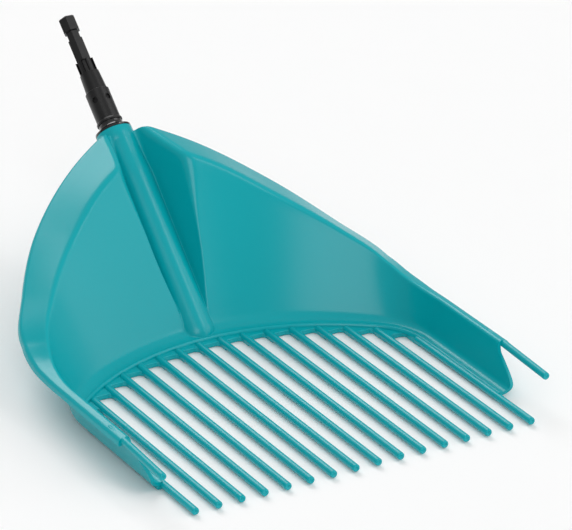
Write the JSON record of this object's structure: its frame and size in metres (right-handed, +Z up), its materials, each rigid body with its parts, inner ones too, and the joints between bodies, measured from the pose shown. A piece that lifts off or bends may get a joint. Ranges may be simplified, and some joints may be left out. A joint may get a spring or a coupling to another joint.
{
  "type": "shovel rake head",
  "caption": "Broad bowl-shaped plastic rake scoop with a row of long round floor tines, a rolled rim, side tines and an angled plug-in handle spigot.",
  "frame": {"origin": "centre of the bounding box's base: on the standing surface, midway between the floor tine tips and the spigot tip, on the centre plane", "axes": "+X across the head to its right-hand side seen from the tines, +Y from the tine tips towards the handle, +Z up from the standing surface"},
  "size_m": [0.3694, 0.5052, 0.2118],
  "materials": {
    "teal_plastic": "smooth satin-gloss moulded polypropylene",
    "gloss_black_tube": "gloss black lacquered tube",
    "gloss_black_collar": "gloss black moulded ring",
    "black_nylon": "matt glass-filled nylon",
    "dark_metal": "blackened rivets",
    "screw_steel": "zinc-plated screw"
  },
  "bodies": {
    "root": {"scoop_shell": "teal_plastic", "tine_01": "teal_plastic", "tine_02": "teal_plastic", "tine_03": "teal_plastic", "tine_04": "teal_plastic", "tine_05": "teal_plastic", "tine_06": "teal_plastic", "tine_07": "teal_plastic", "tine_08": "teal_plastic", "tine_09": "teal_plastic", "tine_10": "teal_plastic", "tine_11": "teal_plastic", "tine_12": "teal_plastic", "tine_13": "teal_plastic", "tine_14": "teal_plastic", "tine_15": "teal_plastic", "tine_16": "teal_plastic", "side_tine_left": "teal_plastic", "side_tine_right": "teal_plastic", "neck_tube": "gloss_black_tube", "seat_collar": "gloss_black_collar", "spigot_sleeve": "black_nylon", "spigot_core": "black_nylon", "sleeve_rivets": "dark_metal", "socket_screw": "screw_steel"}
  },
  "joints": []
}
